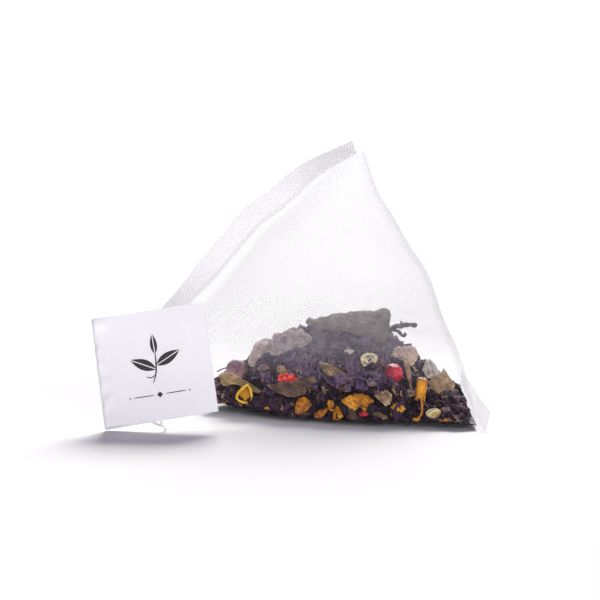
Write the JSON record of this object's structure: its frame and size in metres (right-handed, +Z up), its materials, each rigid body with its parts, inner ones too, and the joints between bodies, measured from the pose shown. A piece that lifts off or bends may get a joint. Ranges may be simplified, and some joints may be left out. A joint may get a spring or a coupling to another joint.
{
  "type": "pyramid tea bag",
  "caption": "Pyramid bag of fine mesh film with a flat heat seal at each end, a filling of dried fruit, flower and leaf pieces, and a folded paper tag on a string.",
  "frame": {"origin": "on the floor, in the middle of the film's flat resting patch", "axes": "+Z up, +X from the tag's side toward the foot seal, +Y along the foot seal, away from the tag"},
  "size_m": [0.0717, 0.0674, 0.0507],
  "materials": {
    "amber": "dried petal",
    "brown": "dried leaf",
    "crimson": "dried berry",
    "dark_shreds": "dried and dark",
    "film": "fine translucent mesh",
    "grey": "dried petal",
    "olive": "dried leaf",
    "pale": "dried seed",
    "plum": "dried berry",
    "string": "twisted cotton",
    "tag_paper": "uncoated",
    "tan": "dried leaf",
    "wood_dark": "dried stem"
  },
  "bodies": {
    "root": {"mesh_bag": "film", "leaf_shred_heap": "dark_shreds", "tag": "tag_paper", "string_from_bag": "string", "string_to_tag": "string", "string_coil": "string", "crimson_berry": "crimson", "dark_berry": "plum", "red_fruit_cluster": "crimson", "orange_peel_stick": "amber", "amber_stem": "amber", "pale_seed": "pale", "grey_petal": "grey", "frayed_tan_petal": "tan", "peach_petal": "tan", "peach_stalk": "tan", "blossom_petal": "grey", "mauve_petal": "grey", "pink_bit": "crimson", "curled_petal": "tan", "white_bud": "pale", "grey_bit": "grey", "curled_tan_leaf": "tan", "olive_leaf": "olive", "brown_leaf_strip": "brown", "yellow_curl": "amber", "amber_petal": "amber", "large_amber_petal": "amber", "tan_curl": "tan", "amber_bit_1": "amber", "amber_bit_2": "amber", "amber_bit_3": "amber", "amber_bit_4": "amber", "red_bit": "crimson", "tan_bit": "tan", "dark_stick": "wood_dark", "small_twig": "wood_dark", "large_leaf": "olive", "forked_stem": "wood_dark", "back_olive_leaf": "olive", "back_brown_leaf": "brown", "back_blossom_petal": "grey", "back_amber_petal": "amber", "back_crimson_berry": "crimson", "back_peel_stick": "amber", "back_dark_berry": "plum"}
  },
  "joints": []
}
